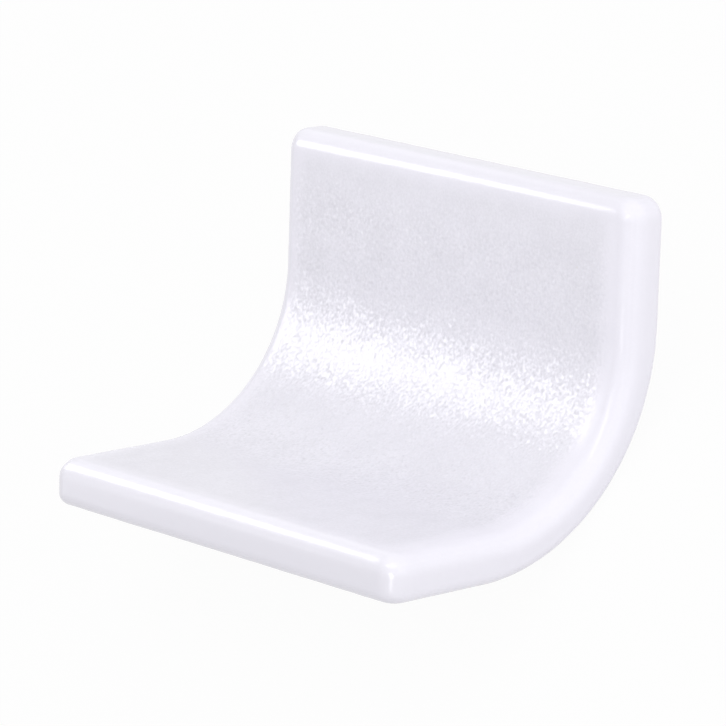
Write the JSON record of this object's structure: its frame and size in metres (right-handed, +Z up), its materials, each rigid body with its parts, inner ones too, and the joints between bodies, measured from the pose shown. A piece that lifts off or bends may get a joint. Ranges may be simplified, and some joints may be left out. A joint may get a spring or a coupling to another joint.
{
  "type": "coved stair tread tile",
  "caption": "Small glazed porcelain cove tile that rounds the inside angle between a tread and a riser: a flat leg, a concave sweep and an equal leg, with rounded edges.",
  "frame": {"origin": "on the floor under the middle of the tile, below the lowest line of its convex side", "axes": "+X along the tile's length, the line where tread and riser meet; +Z up through the middle of the sweep, out of the hollow face; the two legs rise at 45 degrees toward -Y and +Y"},
  "size_m": [0.048, 0.047, 0.0176],
  "materials": {
    "glaze": "white satin glaze with a fine orange-peel surface, glossy on the edge rounds; bare white body on the bedding side"
  },
  "bodies": {
    "root": {"cove_tile": "glaze"}
  },
  "joints": []
}
